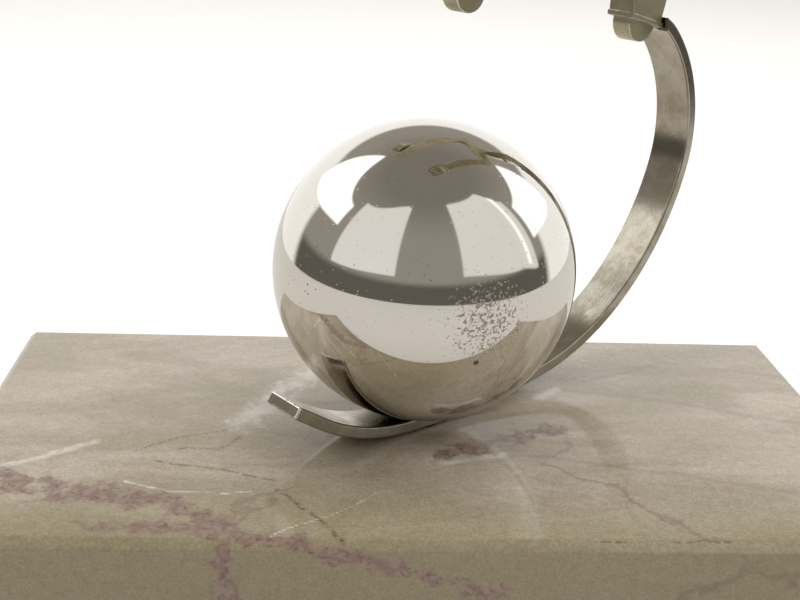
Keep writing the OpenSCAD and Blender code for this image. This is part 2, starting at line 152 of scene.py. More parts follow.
class Finishes(bpy.types.PropertyGroup):
    """Colours of the finishes"""

    stone: tint("Stone", (0.32, 0.276, 0.22), "Ground colour of the marble")
    maroon: tint("Maroon vein", (0.115, 0.055, 0.048), "Colour of the marble's maroon veins")
    rust: tint("Rust vein", (0.13, 0.055, 0.04), "Colour of the marble's rust veins")
    calcite: tint("Calcite", (0.68, 0.64, 0.60), "Colour of the marble's white wisps")
    nickel: tint("Nickel", (0.72, 0.70, 0.655), "Colour of the bright nickel plate")
    band: tint("Band", (0.43, 0.405, 0.35), "Colour of the band's worn nickel")
    casting: tint("Casting", (0.46, 0.42, 0.30), "Colour of the aged castings")


# --- shader tools ---------------------------------------------------------------------------

class Board:
    """Adds and links nodes on one node tree."""

    def __init__(self, tree):
        self.tree = tree
        self.column = 0

    def node(self, kind, **settings):
        """A new node with its attributes set."""
        new = self.tree.nodes.new(kind)
        self.column += 1
        new.location = (self.column % 12 * 190 - 1900, -(self.column // 12) * 260)
        for key, value in settings.items():
            setattr(new, key, value)
        return new

    def feed(self, socket, value):
        """Links a socket to another node's output, or sets its value."""
        if isinstance(value, bpy.types.NodeSocket):
            self.tree.links.new(value, socket)
        elif isinstance(value, tuple) and len(value) == 3 and socket.type == "RGBA":
            socket.default_value = (*value, 1)
        else:
            socket.default_value = value

    def math(self, operation, a, b=0.0, clamp=False):
        """A Math node's output."""
        new = self.node("ShaderNodeMath", operation=operation, use_clamp=clamp)
        self.feed(new.inputs[0], a)
        self.feed(new.inputs[1], b)
        return new.outputs[0]

    def times(self, a, b):
        """Two values multiplied."""
        return self.math("MULTIPLY", a, b)

    def vector(self, operation, a, b=(0.0, 0.0, 0.0)):
        """A Vector Math node's vector output."""
        new = self.node("ShaderNodeVectorMath", operation=operation)
        self.feed(new.inputs[0], a)
        self.feed(new.inputs[1], b)
        return new.outputs["Vector"]

    def measure(self, operation, a, b=(0.0, 0.0, 0.0)):
        """A Vector Math node's value output, such as a length or a dot product."""
        new = self.node("ShaderNodeVectorMath", operation=operation)
        self.feed(new.inputs[0], a)
        self.feed(new.inputs[1], b)
        return new.outputs["Value"]

    def scaled(self, a, factor):
        """A vector or colour times a number."""
        new = self.node("ShaderNodeVectorMath", operation="SCALE")
        self.feed(new.inputs[0], a)
        self.feed(new.inputs["Scale"], factor)
        return new.outputs["Vector"]

    def steps(self, value, low, high, to_low=0.0, to_high=1.0):
        """A smooth step: value from low to high gives to_low to to_high."""
        new = self.node("ShaderNodeMapRange", interpolation_type="SMOOTHSTEP")
        for socket, given in zip(new.inputs, (value, low, high, to_low, to_high)):
            self.feed(socket, given)
        return new.outputs["Result"]

    def mix(self, factor, a, b, blend="MIX"):
        """A colour mix."""
        new = self.node("ShaderNodeMix", data_type="RGBA", blend_type=blend)
        self.feed(new.inputs["Factor"], factor)
        self.feed(new.inputs["A"], a)
        self.feed(new.inputs["B"], b)
        return new.outputs["Result"]

    def coordinates(self):
        """Object coordinates as they are."""
        return self.node("ShaderNodeTexCoord").outputs["Object"]

    def place(self, scale=(1, 1, 1)):
        """Object coordinates, squeezed along each axis by a scale."""
        mapping = self.node("ShaderNodeMapping")
        self.feed(mapping.inputs["Vector"], self.coordinates())
        mapping.inputs["Scale"].default_value = scale
        return mapping.outputs["Vector"]

    def noise(self, vector, scale, detail=3.0, rough=0.5, warp=0.0):
        """A Noise texture's value."""
        new = self.node("ShaderNodeTexNoise")
        self.feed(new.inputs["Vector"], vector)
        self.feed(new.inputs["Scale"], scale)
        new.inputs["Detail"].default_value = detail
        new.inputs["Roughness"].default_value = rough
        new.inputs["Distortion"].default_value = warp
        return new.outputs["Fac"]

    def noise_colour(self, vector, scale, detail):
        """A Noise texture's colour, as three separate random values."""
        new = self.node("ShaderNodeTexNoise")
        self.feed(new.inputs["Vector"], vector)
        new.inputs["Scale"].default_value = scale
        new.inputs["Detail"].default_value = detail
        return new.outputs["Color"]

    def cell_edges(self, vector, scale):
        """The distance to the nearest edge of a Voronoi texture's cells."""
        new = self.node("ShaderNodeTexVoronoi", feature="DISTANCE_TO_EDGE")
        self.feed(new.inputs["Vector"], vector)
        new.inputs["Scale"].default_value = scale
        return new.outputs["Distance"]

    def bump(self, height, distance, strength=1.0, under=None):
        """A Bump node's normal."""
        new = self.node("ShaderNodeBump")
        self.feed(new.inputs["Height"], height)
        new.inputs["Distance"].default_value = distance
        new.inputs["Strength"].default_value = strength
        if under is not None:
            self.feed(new.inputs["Normal"], under)
        return new.outputs["Normal"]

    def use(self, group, **values):
        """A node group with its inputs set or linked."""
        new = self.node("ShaderNodeGroup")
        new.node_tree = group
        for name, value in values.items():
            self.feed(new.inputs[name.replace("_", " ")], value)
        return new.outputs


def new_group(name, inputs, outputs):
    """A shader node group, a board on it, and its input and output nodes."""
    tree = bpy.data.node_groups.new(name, "ShaderNodeTree")
    for label, kind, default in inputs:
        socket = tree.interface.new_socket(label, in_out="INPUT", socket_type=kind)
        if default is not None:
            socket.default_value = default
    for label, kind in outputs:
        tree.interface.new_socket(label, in_out="OUTPUT", socket_type=kind)
    board = Board(tree)
    return tree, board, board.node("NodeGroupInput"), board.node("NodeGroupOutput")


def group(maker):
    """The group that a maker builds, built once and then found by its name."""
    return bpy.data.node_groups.get(maker.__name__) or maker(maker.__name__)


FLOAT, VECTOR = "NodeSocketFloat", "NodeSocketVector"


def vein_mask(name):
    """A ragged mask from the distance to the nearest vein of one kind, in half-widths."""
    tree, board, given, out = new_group(
        name,
        [("Distance", FLOAT, 4.0), ("Grain", FLOAT, 600.0), ("Raggedness", FLOAT, 0.6)],
        [("Mask", FLOAT)])
    ragged = board.noise(board.coordinates(), given.outputs["Grain"], 4.0, 0.65)
    drift = board.times(board.math("SUBTRACT", ragged, 0.5),
                        board.times(given.outputs["Raggedness"], 4.0))
    near = board.math("ADD", given.outputs["Distance"], drift)
    board.feed(out.inputs["Mask"], board.steps(near, 0.2, 1.1, 1.0, 0.0))
    return tree


def edge_wear_and_highlight(name):
    """Where bevelled edges are lightened, partly rubbed-bright wear and partly a painted highlight,
    broken up by noise.
    """
    tree, board, given, out = new_group(
        name, [("Grain", FLOAT, 900.0), ("Reach", FLOAT, 0.0004)], [("Mask", FLOAT)])
    # the marked bevel faces and the edges found by the Bevel node take wear and a painted highlight
    # alike
    edge = board.node("ShaderNodeAttribute", attribute_name="edge").outputs["Fac"]
    rounded = board.node("ShaderNodeBevel", samples=6)
    board.feed(rounded.inputs["Radius"], given.outputs["Reach"])
    face = board.node("ShaderNodeNewGeometry").outputs["Normal"]
    likeness = board.measure("DOT_PRODUCT", rounded.outputs["Normal"], face)
    turned = board.math("SUBTRACT", 1.0, likeness)
    edge = board.math("MAXIMUM", edge, board.steps(turned, 0.015, 0.10))
    breaks = board.noise(board.coordinates(), given.outputs["Grain"], 2.0)
    kept = board.steps(breaks, 0.32, 0.5)
    board.feed(out.inputs["Mask"], board.times(edge, kept))
    return tree


def plate_wear(name):
    """Cloudy mottling and fine pits of old plate."""
    tree, board, given, out = new_group(
        name, [("Cloud Size", FLOAT, 60.0), ("Pit Size", FLOAT, 900.0)],
        [("Cloud", FLOAT), ("Pits", FLOAT)])
    coordinates = board.coordinates()
    cloud = board.noise(coordinates, given.outputs["Cloud Size"], 6.0, 0.62)
    board.feed(out.inputs["Cloud"], cloud)
    pits = board.node("ShaderNodeTexVoronoi")
    board.feed(pits.inputs["Vector"], coordinates)
    board.feed(pits.inputs["Scale"], given.outputs["Pit Size"])
    chosen = board.node("ShaderNodeTexWhiteNoise")
    board.feed(chosen.inputs["Vector"], pits.outputs["Position"])
    rare = board.math("GREATER_THAN", chosen.outputs["Value"], 0.86)
    dots = board.steps(pits.outputs["Distance"], 0.12, 0.3, 1.0, 0.0)
    board.feed(out.inputs["Pits"], board.times(dots, rare))
    return tree


def fine_scratches(name):
    """Long thin rubbing marks along one direction."""
    tree, board, given, out = new_group(
        name, [("Scale", VECTOR, (60.0, 1500.0, 1500.0)), ("Turn", VECTOR, (0.0, 0.0, 0.0))],
        [("Height", FLOAT)])
    mapping = board.node("ShaderNodeMapping", vector_type="TEXTURE")
    board.feed(mapping.inputs["Vector"], board.coordinates())
    board.feed(mapping.inputs["Rotation"], given.outputs["Turn"])
    stretched = board.vector("MULTIPLY", mapping.outputs["Vector"], given.outputs["Scale"])
    board.feed(out.inputs["Height"], board.noise(stretched, 1.0, 4.0))
    return tree


def new_material(name, metallic=0.0):
    """A material, its board and its Principled shader."""
    material = bpy.data.materials.new(name)
    material.use_nodes = True
    board = Board(material.node_tree)
    shader = next(n for n in material.node_tree.nodes if n.type == "BSDF_PRINCIPLED")
    shader.inputs["Metallic"].default_value = metallic
    return material, board, shader


# --- finishes -------------------------------------------------------------------------------

# Veins in the stone, in millimetres on the plinth's top: colour, half-width, then the points
# each one runs through. The front face carries on the pattern of the top's front edge.
VEINS = (
    ("calcite", 5.5, ((-45, -5), (-25, 35))),
    ("crack", 0.55, ((-45, -5), (-70, -20))),
    ("crack", 0.5, ((-60, -20), (-50, -20), (-45, -10))),
    ("crack", 0.5, ((-65, -25), (-35, -35))),
    ("calcite", 1.3, ((-100, -30), (-80, -15))),
    ("maroon", 5.5, ((-110, -30), (-85, -40), (-65, -45))),
    ("maroon", 3.6, ((-60, -45), (-40, -60))),
    ("maroon", 2.6, ((-75, -55), (-30, -60))),
    ("maroon", 2.2, ((-35, -60), (15, -75))),
    ("maroon", 3.2, ((-45, -60), (-45, -85))),
    ("rust", 0.5, ((-35, -40), (-20, -60))),
    ("rust", 0.2, ((-50, -60), (-20, -65))),
    ("calcite", 0.2, ((-35, -60), (-5, -35))),
    ("calcite", 0.3, ((-70, -35), (-60, -40), (-40, -40))),
    ("shade", 1.5, ((40, 20), (65, 15), (115, -5))),
    ("shade", 0.9, ((50, 25), (75, 40), (115, 30))),
    ("shade", 1.0, ((20, -20), (45, -25), (115, -45))),
    ("calcite", 1.9, ((35, 15), (40, 20))),
    ("calcite", 1.4, ((5, -25), (20, -20))),
    ("maroon", 3.5, ((5, -20), (35, -5))),
    ("rust", 0.15, ((35, -60), (65, -60))),
    ("maroon", 1.2, ((-115, -75), (-55, -85))),
)


# How finely and how strongly the edge of each kind of vein is broken up
VEIN_GRAIN = {"maroon": (190.0, 1.1), "rust": (900.0, 0.30), "crack": (900.0, 0.22),
              "calcite": (420.0, 0.7), "shade": (500.0, 0.5)}
GRID_BLUR = 0.3  # added to a vein's half-width in mm, because the grid can't hold a thinner one


def vein_fields(bm, step):
    """Cuts the stone's visible faces into a fine grid, and measures each point's veins."""
    low, high = STONE_LOW, STONE_HIGH
    for axis in range(3):
        plane = Vector([1.0 if axis == i else 0.0 for i in range(3)])
        count = round((high[axis] - low[axis]) / step)
        for index in range(1, count):
            at = low + plane * (high[axis] - low[axis]) * index / count
            faces = [f for f in bm.faces if f.normal.z > -0.5 and abs(f.normal[axis]) < 0.9]
            edges = {e for f in faces for e in f.edges}
            bmesh.ops.bisect_plane(bm, geom=[*faces, *edges], dist=0.000001, plane_co=at,
                                   plane_no=plane)
    layers = {kind: bm.verts.layers.float.new("vein_" + kind) for kind in VEIN_GRAIN}
    forward = bm.verts.layers.float.new("forward")
    for vert in bm.verts:
        # the front face continues the pattern, so depth below the top counts as distance forward
        x, y = vert.co.x, vert.co.y - (high.z - vert.co.z)
        vert[forward] = -y
        slow = noise.noise_vector(vert.co * 75.0) * 2.2
        quick = noise.noise_vector(vert.co * 330.0) * 0.55
        for kind, layer in layers.items():
            point = Vector((x / MM, y / MM)) + (slow + quick).xy * (0.6 if kind == "shade" else 1.0)
            vert[layer] = min(distance_to(point, half, points)
                              for name, half, points in VEINS if name == kind)


def distance_to(point, half, points):
    """The distance from a point to a broken line, in half-widths, at most 4."""
    nearest = 4.0
    for a, b in zip(points, points[1:]):
        start, line = Vector(a), Vector(b) - Vector(a)
        share = min(1.0, max(0.0, (point - start).dot(line) / line.length_squared))
        nearest = min(nearest, (point - start - share * line).length / (half + GRID_BLUR))
    return nearest


def marble(colours):
    """Polished taupe marble with maroon breccia, rust lines, white wisps and sandy grain."""
    material, board, shader = new_material("stone_marble")
    flat = board.place()
    drift = board.vector("SUBTRACT", board.noise_colour(flat, 95.0, 5.0), (0.5, 0.5, 0.5))
    drift = board.scaled(drift, 0.014)
    masks = {}
    for kind, (grain, raggedness) in VEIN_GRAIN.items():
        distance = board.node("ShaderNodeAttribute", attribute_name="vein_" + kind).outputs["Fac"]
        masks[kind] = board.use(group(vein_mask), Distance=distance, Grain=grain,
                                Raggedness=raggedness)["Mask"]

    # ground: cloudy drifts drawn out along the slab, then sandy grain
    drawn = board.place(scale=(1.0, 2.6, 1.6))
    cloud = board.noise(drawn, 17.0, 6.0, 0.58, 0.6)
    layer = board.noise(drawn, 46.0, 5.0, 0.6, 1.2)
    grain = board.noise(flat, 1500.0, 3.0, 0.65)
    coarse = board.noise(flat, 420.0, 4.0, 0.65)
    ground = colours.stone
    pale = tuple(min(1, c * 1.22 + 0.02) for c in ground)
    olive = (ground[0] * 0.78, ground[1] * 0.77, ground[2] * 0.56)
    pink = (ground[0] * 0.98, ground[1] * 0.88, ground[2] * 0.86)
    mauve = (ground[0] * 0.76, ground[1] * 0.62, ground[2] * 0.66)
    warm = tuple(0.5 * a + 0.5 * b for a, b in zip(olive, ground))
    colour = board.mix(board.steps(cloud, 0.32, 0.68), warm, pale)
    colour = board.mix(board.steps(layer, 0.5, 0.72, 0.0, 0.65), colour, pink)
    # the slab turns a warmer olive towards its front and on its front face, partly the stone's own
    # colour and partly painted shade for light that falls from behind and above
    ahead = board.node("ShaderNodeAttribute", attribute_name="forward").outputs["Fac"]
    forward = board.steps(ahead, 0.030, 0.068, 0.0, 0.85)
    colour = board.mix(forward, colour, olive)
    # painted shade: the front face is darkened, standing in for the shade it gets under light from
    # behind and above
    colour = board.scaled(colour, board.steps(ahead, 0.059, 0.066, 1.0, 0.86))
    speck = board.steps(grain, 0.36, 0.64, 0.89, 1.09)
    sand = board.steps(coarse, 0.35, 0.65, 0.93, 1.05)
    colour = board.scaled(colour, board.times(speck, sand))

    # breccia: the maroon veins are broken into crumbs
    crumbs = board.steps(board.noise(flat, 520.0, 6.0, 0.75, 0.8), 0.44, 0.66)
    swayed = board.vector("ADD", flat, board.scaled(drift, 0.5))
    web = board.steps(board.cell_edges(swayed, 165.0), 0.0, 0.13, 1.0, 0.0)
    crumbs = board.math("MAXIMUM", crumbs, board.times(web, 0.5))
    fine = board.steps(board.noise(flat, 900.0, 3.0, 0.6), 0.40, 0.56)
    maroon = board.times(masks["maroon"], board.times(crumbs, 0.85))
    colour = board.mix(board.times(masks["maroon"], 0.75), colour, mauve)
    colour = board.mix(maroon, colour, tuple(colours.maroon))
    rust = board.times(masks["rust"], fine)
    colour = board.mix(board.times(rust, 0.85), colour, tuple(colours.rust))
    crack = board.times(masks["crack"], board.times(fine, 0.75))
    colour = board.mix(crack, colour, (0.13, 0.10, 0.085))
    colour = board.mix(board.times(masks["shade"], 0.38), colour, (0.24, 0.17, 0.14))
    milk = board.steps(board.noise(flat, 150.0, 5.0, 0.6, 0.5), 0.30, 0.62, 0.10, 0.6)
    milk = board.times(masks["calcite"], milk)
    colour = board.mix(milk, colour, tuple(colours.calcite))

    # stray hairlines all over the slab, so that the back and sides are veined too
    hair = board.cell_edges(board.vector("ADD", flat, board.scaled(drift, 1.6)), 13.0)
    hair = board.steps(hair, 0.0, 0.022, 0.34, 0.0)
    patches = board.steps(board.noise(flat, 22.0, 2.0), 0.5, 0.62)
    colour = board.mix(board.times(hair, patches), colour, tuple(colours.maroon))
    board.feed(shader.inputs["Base Color"], colour)

    pores = board.steps(board.noise(flat, 2400.0, 2.0), 0.28, 0.40, 1.0, 0.0)
    height = board.math("SUBTRACT", board.times(grain, 0.25), pores)
    board.feed(shader.inputs["Normal"], board.bump(height, 0.00002, 0.35))
    rough = board.math("ADD", board.steps(coarse, 0.3, 0.7, 0.055, 0.11),
                       board.times(masks["maroon"], 0.08))
    board.feed(shader.inputs["Roughness"], rough)
    shader.inputs["IOR"].default_value = 1.55
    return material


def bright_nickel(colours):
    """Mirror nickel with fine pits, dark specks and one rough, pitted patch."""
    material, board, shader = new_material("bright_nickel", metallic=1.0)
    wear = board.use(group(plate_wear), Cloud_Size=38.0, Pit_Size=1150.0)
    flat = board.place()
    # the rough patch is on the side that faces right of the front
    centre = BALL_MIDDLE + BALL_R * Vector((0.309, -0.951, -0.02))
    away = board.measure("LENGTH", board.vector("SUBTRACT", flat, tuple(centre)))
    patch = board.steps(away, 0.002, 0.017, 0.0, 0.22)
    dots = board.noise(flat, 1300.0, 3.0, 0.6)
    flakes = board.steps(board.math("SUBTRACT", dots, patch), 0.49, 0.58)
    scale = board.times(flakes, 0.7)
    pit_at = BALL_MIDDLE + BALL_R * Vector((0.257, -0.928, -0.271))
    pit = board.measure("LENGTH", board.vector("SUBTRACT", flat, tuple(pit_at)))
    scale = board.math("MAXIMUM", scale, board.steps(pit, 0.0005, 0.0009, 1.0, 0.0))
    strays = board.steps(board.noise(flat, 26.0, 3.0, 0.6), 0.52, 0.70)
    share = board.math("ADD", board.times(strays, 0.9), 0.25)
    pits = board.times(wear["Pits"], share)
    colour = board.mix(board.steps(wear["Cloud"], 0.35, 0.7, 0.0, 0.5), tuple(colours.nickel),
                       tuple(c * k for c, k in zip(colours.nickel, (0.93, 0.90, 0.84))))
    marks = board.math("MAXIMUM", board.times(scale, 0.9), pits)
    colour = board.mix(marks, colour, (0.10, 0.085, 0.06))
    board.feed(shader.inputs["Base Color"], colour)
    haze = board.steps(wear["Cloud"], 0.3, 0.75, 0.030, 0.075)
    rough = board.math("ADD", haze, board.times(marks, 0.45))
    board.feed(shader.inputs["Roughness"], rough)
    ripple = board.noise(flat, 22.0, 2.0, 0.5)
    low = board.bump(ripple, 0.00003, 0.5)
    sunk = board.times(marks, -1.0)
    board.feed(shader.inputs["Normal"], board.bump(sunk, 0.00006, 0.5, low))
    return material


def worn_nickel(colours):
    """The band's warm, mottled nickel, rubbed along its length."""
    material, board, shader = new_material("worn_nickel", metallic=1.0)
    wear = board.use(group(plate_wear), Cloud_Size=170.0, Pit_Size=1500.0)
    rub = board.use(group(fine_scratches), Scale=(90.0, 2200.0, 300.0), Turn=(0.0, 0.0, YAW))
    base = tuple(colours.band)
    stain = (base[0] * 0.80, base[1] * 0.76, base[2] * 0.66)
    blotch = board.steps(wear["Cloud"], 0.36, 0.66)
    colour = board.mix(blotch, stain, base)
    colour = board.mix(board.times(wear["Pits"], 0.55), colour, (0.10, 0.08, 0.05))
    rubbed_and_highlit = board.use(group(edge_wear_and_highlight), Grain=700.0, Reach=0.0003)["Mask"]
    # the bevelled rims are lightened: partly rubbed wear, partly a painted highlight of the light
    # they catch
    colour = board.mix(board.times(rubbed_and_highlit, 0.8), colour, (0.86, 0.84, 0.79))
    board.feed(shader.inputs["Base Color"], colour)
    rough = board.math("ADD", board.steps(wear["Cloud"], 0.3, 0.7, 0.22, 0.13),
                       board.times(wear["Pits"], 0.3))
    board.feed(shader.inputs["Roughness"], rough)
    height = board.math("ADD", rub["Height"], board.times(wear["Cloud"], 1.5))
    board.feed(shader.inputs["Normal"], board.bump(height, 0.00003, 0.5))
    return material


def aged_casting(colours):
    """Olive, dull plate on the castings, lightened along the edges, partly rubbed wear and partly a
    painted highlight.
    """
    material, board, shader = new_material("aged_casting", metallic=1.0)
    wear = board.use(group(plate_wear), Cloud_Size=120.0, Pit_Size=1300.0)
    bright = board.use(group(edge_wear_and_highlight), Grain=520.0, Reach=0.0006)["Mask"]
    base = tuple(colours.casting)
    tarnish = (base[0] * 0.74, base[1] * 0.73, base[2] * 0.62)
    blotch = board.steps(wear["Cloud"], 0.34, 0.62)
    colour = board.mix(blotch, tarnish, base)
    colour = board.mix(board.times(wear["Pits"], 0.6), colour, (0.05, 0.045, 0.03))
    # the edges are lightened: partly rubbed wear, partly a painted highlight
    colour = board.mix(bright, colour, (0.82, 0.79, 0.72))
    board.feed(shader.inputs["Base Color"], colour)
    rough = board.math("SUBTRACT", board.steps(wear["Cloud"], 0.3, 0.7, 0.42, 0.30),
                       board.times(bright, 0.16))
    board.feed(shader.inputs["Roughness"], rough)
    grain = board.noise(board.place(), 700.0, 5.0, 0.6)
    height = board.math("ADD", board.times(wear["Cloud"], 2.0), grain)
    board.feed(shader.inputs["Normal"], board.bump(height, 0.00005, 0.5))
    return material


def turned_metal(name, colour, dark, rough):
    """Turned or plated hardware with rubbing marks, and worn edges that also carry a painted
    highlight.
    """
    material, board, shader = new_material(name, metallic=1.0)
    wear = board.use(group(plate_wear), Cloud_Size=300.0, Pit_Size=2500.0)
    rub = board.use(group(fine_scratches), Scale=(300.0, 300.0, 4000.0))
    bright = board.use(group(edge_wear_and_highlight), Grain=1200.0)["Mask"]
    tone = board.mix(board.steps(wear["Cloud"], 0.35, 0.65), dark, colour)
    # the edge tone is partly rubbed wear and partly a painted highlight
    worn_and_highlit_tone = tuple(min(1, c * 1.35) for c in colour)
    tone = board.mix(board.times(bright, 0.6), tone, worn_and_highlit_tone)
    board.feed(shader.inputs["Base Color"], tone)
    board.feed(shader.inputs["Roughness"], board.steps(wear["Cloud"], 0.3, 0.7, rough + 0.1, rough))
    board.feed(shader.inputs["Normal"], board.bump(rub["Height"], 0.00001, 0.6))
    return material


def moulded(name, colour, rough, grain):
    """Rubber, nylon, acetal or fibre with a dull, slightly uneven skin."""
    material, board, shader = new_material(name)
    flat = board.place()
    cloud = board.noise(flat, 140.0, 4.0, 0.6)
    texture = board.noise(flat, grain, 3.0, 0.6)
    darker = tuple(c * 0.72 for c in colour)
    board.feed(shader.inputs["Base Color"], board.mix(board.steps(cloud, 0.3, 0.7), darker, colour))
    board.feed(shader.inputs["Roughness"], board.steps(texture, 0.3, 0.7, rough - 0.08, rough + 0.08))
    board.feed(shader.inputs["Normal"], board.bump(texture, 0.00004, 0.5))
    return material


def make_finishes():
    """Every finish, by the record's slot name."""
    colours = bpy.context.scene.swing_finishes
    return {
        "stone": marble(colours),
        "ball_nickel": bright_nickel(colours),
        "band_nickel": worn_nickel(colours),
        "cast_nickel": aged_casting(colours),
        "screw_steel": turned_metal("screw_steel", (0.56, 0.55, 0.52), (0.36, 0.35, 0.33), 0.26),
        "stud_steel": turned_metal("stud_steel", (0.62, 0.60, 0.55), (0.42, 0.40, 0.36), 0.20),
        "spring_steel": turned_metal("spring_steel", (0.25, 0.24, 0.22), (0.13, 0.12, 0.11), 0.34),
        "nut_steel": turned_metal("nut_steel", (0.58, 0.51, 0.36), (0.40, 0.34, 0.22), 0.28),
        "bush_brass": turned_metal("bush_brass", (0.68, 0.48, 0.20), (0.45, 0.30, 0.12), 0.22),
        "feet_rubber": moulded("feet_rubber", (0.035, 0.033, 0.030), 0.72, 900.0),
        "plug_nylon": moulded("plug_nylon", (0.62, 0.59, 0.50), 0.45, 1400.0),
        "slip_fibre": moulded("slip_fibre", (0.17, 0.09, 0.05), 0.62, 1800.0),
        "seat_plastic": moulded("seat_plastic", (0.72, 0.70, 0.64), 0.38, 1400.0),
    }


FINISHES = {}
SLOTS = {s["node"]: s["material_slot"] for s in frame["record"]["subparts"]}


def finish_for(slot):
    """The finish for a slot, all of them made on first use."""
    if not FINISHES:
        FINISHES.update(make_finishes())
    return FINISHES[slot]


# --- mesh tools -----------------------------------------------------------------------------

def place_piece(name, bm, body, slot, nodes, flat_angle=40):
    """Makes an object of a bmesh, gives it its finish, and lets it stand for the CAD nodes."""
    mesh = bpy.data.meshes.new(name)
    bm.to_mesh(mesh)
    bm.free()
    mesh.shade_smooth()
    mesh.set_sharp_from_angle(angle=math.radians(flat_angle))
    piece = bpy.data.objects.new(name, mesh)
    bpy.context.scene.collection.objects.link(piece)
    mesh.materials.append(finish_for(slot))
    even = piece.modifiers.new("even_shading", "WEIGHTED_NORMAL")
    even.keep_sharp = True
    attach(piece, body)
    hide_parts(*nodes)
    return piece


def body_of_node(node):
    """The body that holds a node."""
    bodies = frame["record"]["behaviour"]["bodies"]
    return next(body for body, nodes in bodies.items() if node in nodes)


def shell_of(node):
    """A bmesh of a CAD node with its loose triangles merged into flat faces."""
    bm = bmesh.new()
    bm.from_mesh(frame["nodes"][node].data)
    bmesh.ops.remove_doubles(bm, verts=bm.verts, dist=WELD)
    bmesh.ops.dissolve_limit(bm, angle_limit=math.radians(0.6), verts=bm.verts, edges=bm.edges,
                             use_dissolve_boundaries=False)
    return bm


def ease_edges(bm, width, sharp=28):
    """Bevels every sharp edge, and marks the new faces for rubbed wear and a painted edge highlight.
    """
    layer = bm.faces.layers.float.get("edge") or bm.faces.layers.float.new("edge")
    limit = math.radians(sharp)
    edges = [e for e in bm.edges if len(e.link_faces) == 2 and e.calc_face_angle(0) > limit]
    made = bmesh.ops.bevel(bm, geom=edges, offset=width, offset_type="OFFSET", affect="EDGES",
                           segments=3, profile=0.5, material=-1, clamp_overlap=True)
    for face in made["faces"]:
        face[layer] = 1.0


def softened(node, width, name=None):
    """A CAD node's shape with eased edges, as a piece of its own."""
    bm = shell_of(node)
    ease_edges(bm, width)
    return place_piece(name or node + "_piece", bm, body_of_node(node), SLOTS[node], (node,))


def carve(piece, boxes):
    """Cuts boxes out of a piece: each is a middle, a turn matrix and three sides."""
    bm = bmesh.new()
    for middle, turn, sides in boxes:
        made = bmesh.ops.create_cube(bm, size=1.0)
        bmesh.ops.scale(bm, vec=sides, verts=made["verts"])
        bmesh.ops.rotate(bm, cent=(0, 0, 0), matrix=turn, verts=made["verts"])
        bmesh.ops.translate(bm, vec=middle, verts=made["verts"])
    mesh = bpy.data.meshes.new("box_cutter")
    bm.to_mesh(mesh)
    bm.free()
    cutter = bpy.data.objects.new("box_cutter", mesh)
    bpy.context.scene.collection.objects.link(cutter)
    cut = piece.modifiers.new("boxes", "BOOLEAN")
    cut.object = cutter
    cut.operation = "DIFFERENCE"
    cut.solver = "EXACT"
    graph = bpy.context.evaluated_depsgraph_get()
    carved = bpy.data.meshes.new_from_object(piece.evaluated_get(graph))
    if not carved.polygons:
        raise RuntimeError("the cut left nothing of " + piece.name)
    piece.modifiers.remove(cut)
    piece.data = carved
    bpy.data.objects.remove(cutter)


# --- operators ------------------------------------------------------------------------------

# Screw slots: radius of the head, sides of the box that cuts the slot, and its turn
FOOT_HEAD_R = 0.0035
FOOT_SLOT = Vector((0.009, 0.0009, 0.0008))
FOOT_SLOT_TURN = math.radians(31)
POST_SLOT = Vector((0.006, 0.0007, 0.0013))
POST_SLOT_TURN = 0.6
RAIL_HEAD_R = 0.0021
RAIL_SLOT = Vector((0.0014, 0.006, 0.0007))
RAIL_SLOT_TURN = 0.5

BALL_RINGS, BALL_SECTORS = 150, 256  # steps of the ball's outline, and around it
BAND_STEP = 1.25  # degrees between sections along the band
TENON_BOX = 0.03  # side of the boxes that cut the band down to its tenon


class SWING_OT_plinth(bpy.types.Operator):
    """Builds the marble plinth with eased edges, and its rubber feet"""

    bl_idname = "swing.plinth"
    bl_label = "Plinth and Feet"

    def execute(self, context):
        edges = context.scene.swing_edges
        bm = shell_of("plinth")
        ease_edges(bm, edges.stone)
        vein_fields(bm, edges.vein_step)
        place_piece("marble_plinth", bm, "base", "stone", ("plinth",))
        softened("rubber_feet", edges.casting, "feet_rubber_discs")
        screws = softened("foot_screws", edges.turned, "feet_screws")
        low, high = corners_of("foot_screws")
        turn = Matrix.Rotation(FOOT_SLOT_TURN, 3, "Z")
        carve(screws, [(Vector((x, y, low.z)), turn, FOOT_SLOT)
                       for x in (low.x + FOOT_HEAD_R, high.x - FOOT_HEAD_R)
                       for y in (low.y + FOOT_HEAD_R, high.y - FOOT_HEAD_R)])
        return {"FINISHED"}


class SWING_OT_stud(bpy.types.Operator):
    """Eases the edges of the stud, its nut, washers and bushes"""

    bl_idname = "swing.stud"
    bl_label = "Stud and Washers"

    def execute(self, context):
        edges = context.scene.swing_edges
        for node in ("centre_stud", "stud_nut", "stud_washer", "spring_washer", "foot_plugs",
                     "slip_washer", "seat_washer", "band_bush", "ball_bush"):
            softened(node, edges.turned)
        for node in ("grip_ring", "clamp_pins"):
            dress_node(node)
        return {"FINISHED"}


def dress_node(node):
    """Gives a CAD node that keeps its own mesh its finish."""
    mesh = frame["nodes"][node].data
    mesh.materials.clear()
    mesh.materials.append(finish_for(SLOTS[node]))


